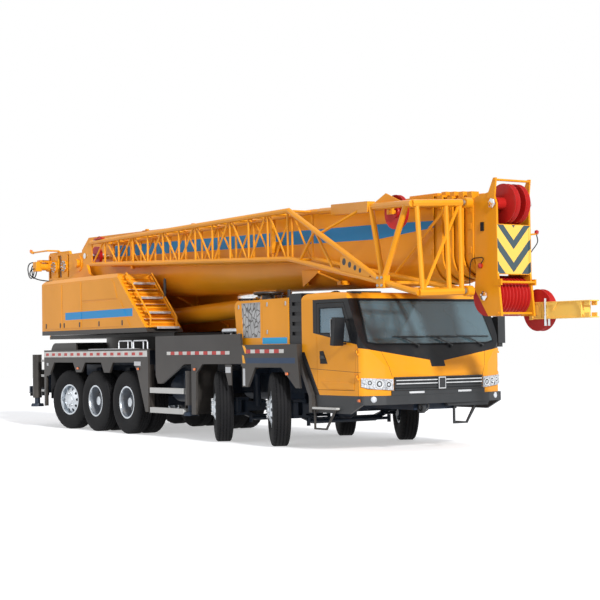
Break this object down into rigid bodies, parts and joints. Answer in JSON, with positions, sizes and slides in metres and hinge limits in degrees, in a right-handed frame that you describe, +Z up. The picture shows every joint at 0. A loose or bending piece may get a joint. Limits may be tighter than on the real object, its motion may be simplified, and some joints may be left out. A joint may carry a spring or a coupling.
{
  "type": "mobile crane",
  "caption": "Truck crane with a telescopic boom, a lattice jib stowed at its side, outriggers, steered axles and a slewing superstructure with winches.",
  "frame": {"origin": "on the ground, under the middle of the overall length and width", "axes": "+X forward along the carrier, +Y to the driver's left, +Z up"},
  "size_m": [16.42, 3.32, 4.1076],
  "materials": {
    "tyre_rubber": "matt black with a moulded tread",
    "carrier_grey": "satin dark grey paint",
    "rod_steel": "polished",
    "engine_iron": "painted casting",
    "window_glass": "clear, slightly tinted",
    "cab_trim": "grained",
    "black_trim": "satin",
    "lamp_clear": "clear lens",
    "step_silver": "brushed treads",
    "sheave_red": "gloss red paint",
    "winch_rope": "greased wire rope on a drum",
    "crane_yellow": "gloss orange-yellow paint"
  },
  "bodies": {
    "carrier": {"chassis_frame": "carrier_grey", "deck_fenders": "carrier_grey", "axle_beams": "carrier_grey", "engine": "engine_iron", "engine_covers": "crane_yellow", "cab_shell": "crane_yellow", "cab_glass": "window_glass", "cab_interior": "cab_trim", "front_trim": "black_trim", "headlamps": "lamp_clear", "side_steps": "step_silver", "tanks": "carrier_grey", "boom_rest": "crane_yellow"},
    "superstructure": {"slewing_platform": "crane_yellow", "hoods": "crane_yellow", "operator_cab": "crane_yellow", "operator_glass": "window_glass", "operator_seat": "cab_trim", "counterweight": "crane_yellow"},
    "boom_base": {"boom_base": "crane_yellow", "jib": "crane_yellow"},
    "boom_section_2": {"boom_section_2": "crane_yellow"},
    "boom_section_3": {"boom_section_3": "crane_yellow"},
    "boom_section_4": {"boom_section_4": "crane_yellow"},
    "boom_head_section": {"boom_head_section": "crane_yellow", "auxiliary_nose": "crane_yellow"},
    "top_sheaves": {"top_sheaves": "sheave_red"},
    "lower_sheaves": {"lower_sheaves": "sheave_red"},
    "auxiliary_sheave": {"auxiliary_sheave": "sheave_red"},
    "lift_barrel": {"lift_barrel": "crane_yellow"},
    "lift_rod": {"lift_rod": "rod_steel"},
    "winch_main": {"winch_main": "winch_rope"},
    "winch_auxiliary": {"winch_auxiliary": "winch_rope"},
    "operator_door": {"operator_door": "crane_yellow"},
    "cab_door_right": {"cab_door_right": "crane_yellow"},
    "cab_door_left": {"cab_door_left": "crane_yellow"},
    "wheel_1_right": {"wheel_1_right": "tyre_rubber"},
    "knuckle_1_right": {"knuckle_1_right": "carrier_grey"},
    "wheel_1_left": {"wheel_1_left": "tyre_rubber"},
    "knuckle_1_left": {"knuckle_1_left": "carrier_grey"},
    "wheel_2_right": {"wheel_2_right": "tyre_rubber"},
    "knuckle_2_right": {"knuckle_2_right": "carrier_grey"},
    "wheel_2_left": {"wheel_2_left": "tyre_rubber"},
    "knuckle_2_left": {"knuckle_2_left": "carrier_grey"},
    "wheel_3_right": {"wheel_3_right": "tyre_rubber"},
    "wheel_3_left": {"wheel_3_left": "tyre_rubber"},
    "wheel_4_right": {"wheel_4_right": "tyre_rubber"},
    "wheel_4_left": {"wheel_4_left": "tyre_rubber"},
    "wheel_5_right": {"wheel_5_right": "tyre_rubber"},
    "knuckle_5_right": {"knuckle_5_right": "carrier_grey"},
    "wheel_5_left": {"wheel_5_left": "tyre_rubber"},
    "knuckle_5_left": {"knuckle_5_left": "carrier_grey"},
    "beam_front_right": {"beam_front_right": "carrier_grey"},
    "jack_front_right": {"jack_front_right": "rod_steel"},
    "beam_front_left": {"beam_front_left": "carrier_grey"},
    "jack_front_left": {"jack_front_left": "rod_steel"},
    "beam_rear_right": {"beam_rear_right": "carrier_grey"},
    "jack_rear_right": {"jack_rear_right": "rod_steel"},
    "beam_rear_left": {"beam_rear_left": "carrier_grey"},
    "jack_rear_left": {"jack_rear_left": "rod_steel"}
  },
  "joints": [
    {"name": "slew", "type": "hinge", "parent": "carrier", "child": "superstructure", "pos_m": [-4.13, 0, 1.7], "axis": [0, 0, 1], "continuous": true},
    {"name": "boom_luff", "type": "hinge", "parent": "superstructure", "child": "boom_base", "pos_m": [-6.63, 0, 3.55], "axis": [0, -1, 0], "range_deg": [0, 80]},
    {"name": "telescope_2", "type": "slide", "parent": "boom_base", "child": "boom_section_2", "axis": [0.9999, 0, -0.0157], "range_m": [0, 8.5]},
    {"name": "telescope_3", "type": "slide", "parent": "boom_section_2", "child": "boom_section_3", "axis": [0.9999, 0, -0.0157], "range_m": [0, 8.5]},
    {"name": "telescope_4", "type": "slide", "parent": "boom_section_3", "child": "boom_section_4", "axis": [0.9999, 0, -0.0157], "range_m": [0, 8.5]},
    {"name": "telescope_5", "type": "slide", "parent": "boom_section_4", "child": "boom_head_section", "axis": [0.9999, 0, -0.0157], "range_m": [0, 8.5]},
    {"name": "top_sheaves_spin", "type": "hinge", "parent": "boom_head_section", "child": "top_sheaves", "pos_m": [6.70399, 0, 3.69958], "axis": [0, 1, 0], "continuous": true},
    {"name": "lower_sheaves_spin", "type": "hinge", "parent": "boom_head_section", "child": "lower_sheaves", "pos_m": [6.49284, 0, 2.35473], "axis": [0, 1, 0], "continuous": true},
    {"name": "auxiliary_sheave_spin", "type": "hinge", "parent": "boom_head_section", "child": "auxiliary_sheave", "pos_m": [6.83, 0.44, 2.135], "axis": [0, 1, 0], "continuous": true},
    {"name": "lift_barrel_swing", "type": "hinge", "parent": "superstructure", "child": "lift_barrel", "pos_m": [-4.13, 0, 2.26], "axis": [0, -1, 0], "range_deg": [0, 90.29]},
    {"name": "lift_rod_slide", "type": "slide", "parent": "lift_barrel", "child": "lift_rod", "axis": [0.9993, 0, 0.0363], "range_m": [0, 3.508]},
    {"name": "winch_main_spin", "type": "hinge", "parent": "superstructure", "child": "winch_main", "pos_m": [-7.89, 0, 3.53], "axis": [0, 1, 0], "continuous": true},
    {"name": "winch_auxiliary_spin", "type": "hinge", "parent": "superstructure", "child": "winch_auxiliary", "pos_m": [-7.36, 0, 3.53], "axis": [0, 1, 0], "continuous": true},
    {"name": "operator_door_slide", "type": "slide", "parent": "superstructure", "child": "operator_door", "axis": [-1, 0, 0], "range_m": [0, 0.8]},
    {"name": "cab_door_right_hinge", "type": "hinge", "parent": "carrier", "child": "cab_door_right", "pos_m": [4.755, -1.42, 1.3], "axis": [0, 0, 1], "range_deg": [0, 70]},
    {"name": "cab_door_left_hinge", "type": "hinge", "parent": "carrier", "child": "cab_door_left", "pos_m": [4.755, 1.42, 1.3], "axis": [0, 0, -1], "range_deg": [0, 70]},
    {"name": "steer_1_right", "type": "hinge", "parent": "carrier", "child": "knuckle_1_right", "pos_m": [2.425, -1.03, 0.613], "axis": [0, 0, 1], "range_deg": [-7, 63]},
    {"name": "wheel_1_right_spin", "type": "hinge", "parent": "knuckle_1_right", "child": "wheel_1_right", "pos_m": [2.31233, -1.24191, 0.613], "axis": [0.4695, 0.8829, 0], "continuous": true},
    {"name": "steer_1_left", "type": "hinge", "parent": "carrier", "child": "knuckle_1_left", "pos_m": [2.425, 1.03, 0.613], "axis": [0, 0, 1], "range_deg": [-7, 63]},
    {"name": "wheel_1_left_spin", "type": "hinge", "parent": "knuckle_1_left", "child": "wheel_1_left", "pos_m": [2.53767, 1.24191, 0.613], "axis": [0.4695, 0.8829, 0], "continuous": true},
    {"name": "steer_2_right", "type": "hinge", "parent": "carrier", "child": "knuckle_2_right", "pos_m": [0.618, -1.03, 0.613], "axis": [0, 0, 1], "range_deg": [-7, 63]},
    {"name": "wheel_2_right_spin", "type": "hinge", "parent": "knuckle_2_right", "child": "wheel_2_right", "pos_m": [0.50533, -1.24191, 0.613], "axis": [0.4695, 0.8829, 0], "continuous": true},
    {"name": "steer_2_left", "type": "hinge", "parent": "carrier", "child": "knuckle_2_left", "pos_m": [0.618, 1.03, 0.613], "axis": [0, 0, 1], "range_deg": [-7, 63]},
    {"name": "wheel_2_left_spin", "type": "hinge", "parent": "knuckle_2_left", "child": "wheel_2_left", "pos_m": [0.73067, 1.24191, 0.613], "axis": [0.4695, 0.8829, 0], "continuous": true},
    {"name": "wheel_3_right_spin", "type": "hinge", "parent": "carrier", "child": "wheel_3_right", "pos_m": [-2.858, -1.29, 0.613], "axis": [0, 1, 0], "continuous": true},
    {"name": "wheel_3_left_spin", "type": "hinge", "parent": "carrier", "child": "wheel_3_left", "pos_m": [-2.858, 1.29, 0.613], "axis": [0, 1, 0], "continuous": true},
    {"name": "wheel_4_right_spin", "type": "hinge", "parent": "carrier", "child": "wheel_4_right", "pos_m": [-4.23, -1.29, 0.613], "axis": [0, 1, 0], "continuous": true},
    {"name": "wheel_4_left_spin", "type": "hinge", "parent": "carrier", "child": "wheel_4_left", "pos_m": [-4.23, 1.29, 0.613], "axis": [0, 1, 0], "continuous": true},
    {"name": "steer_5_right", "type": "hinge", "parent": "carrier", "child": "knuckle_5_right", "pos_m": [-5.57, -1.03, 0.613], "axis": [0, 0, 1], "range_deg": [-22.7, 2.7]},
    {"name": "wheel_5_right_spin", "type": "hinge", "parent": "knuckle_5_right", "child": "wheel_5_right", "pos_m": [-5.52832, -1.26635, 0.613], "axis": [-0.1736, 0.9848, 0], "continuous": true},
    {"name": "steer_5_left", "type": "hinge", "parent": "carrier", "child": "knuckle_5_left", "pos_m": [-5.57, 1.03, 0.613], "axis": [0, 0, 1], "range_deg": [-22.7, 2.7]},
    {"name": "wheel_5_left_spin", "type": "hinge", "parent": "knuckle_5_left", "child": "wheel_5_left", "pos_m": [-5.61168, 1.26635, 0.613], "axis": [-0.1736, 0.9848, 0], "continuous": true},
    {"name": "beam_front_right_slide", "type": "slide", "parent": "carrier", "child": "beam_front_right", "axis": [0, -1, 0], "range_m": [0, 2.1]},
    {"name": "jack_front_right_slide", "type": "slide", "parent": "beam_front_right", "child": "jack_front_right", "axis": [0, 0, -1], "range_m": [0, 0.43]},
    {"name": "beam_front_left_slide", "type": "slide", "parent": "carrier", "child": "beam_front_left", "axis": [0, 1, 0], "range_m": [0, 2.1]},
    {"name": "jack_front_left_slide", "type": "slide", "parent": "beam_front_left", "child": "jack_front_left", "axis": [0, 0, -1], "range_m": [0, 0.43]},
    {"name": "beam_rear_right_slide", "type": "slide", "parent": "carrier", "child": "beam_rear_right", "axis": [0, -1, 0], "range_m": [0, 2.1]},
    {"name": "jack_rear_right_slide", "type": "slide", "parent": "beam_rear_right", "child": "jack_rear_right", "axis": [0, 0, -1], "range_m": [0, 0.43]},
    {"name": "beam_rear_left_slide", "type": "slide", "parent": "carrier", "child": "beam_rear_left", "axis": [0, 1, 0], "range_m": [0, 2.1]},
    {"name": "jack_rear_left_slide", "type": "slide", "parent": "beam_rear_left", "child": "jack_rear_left", "axis": [0, 0, -1], "range_m": [0, 0.43]}
  ],
  "couplings": [
    {"joint": "telescope_3", "follows": "telescope_2", "ratio": 1},
    {"joint": "telescope_4", "follows": "telescope_2", "ratio": 1},
    {"joint": "telescope_5", "follows": "telescope_2", "ratio": 1},
    {"joint": "lift_barrel_swing", "follows": "boom_luff", "ratio": 1.1161},
    {"joint": "lift_rod_slide", "follows": "boom_luff", "m_per_rad": 2.4983},
    {"joint": "steer_1_left", "follows": "steer_1_right", "ratio": 1},
    {"joint": "steer_2_right", "follows": "steer_1_right", "ratio": 1},
    {"joint": "steer_2_left", "follows": "steer_1_right", "ratio": 1},
    {"joint": "steer_5_right", "follows": "steer_1_right", "ratio": -0.35714},
    {"joint": "steer_5_left", "follows": "steer_1_right", "ratio": -0.35714}
  ]
}
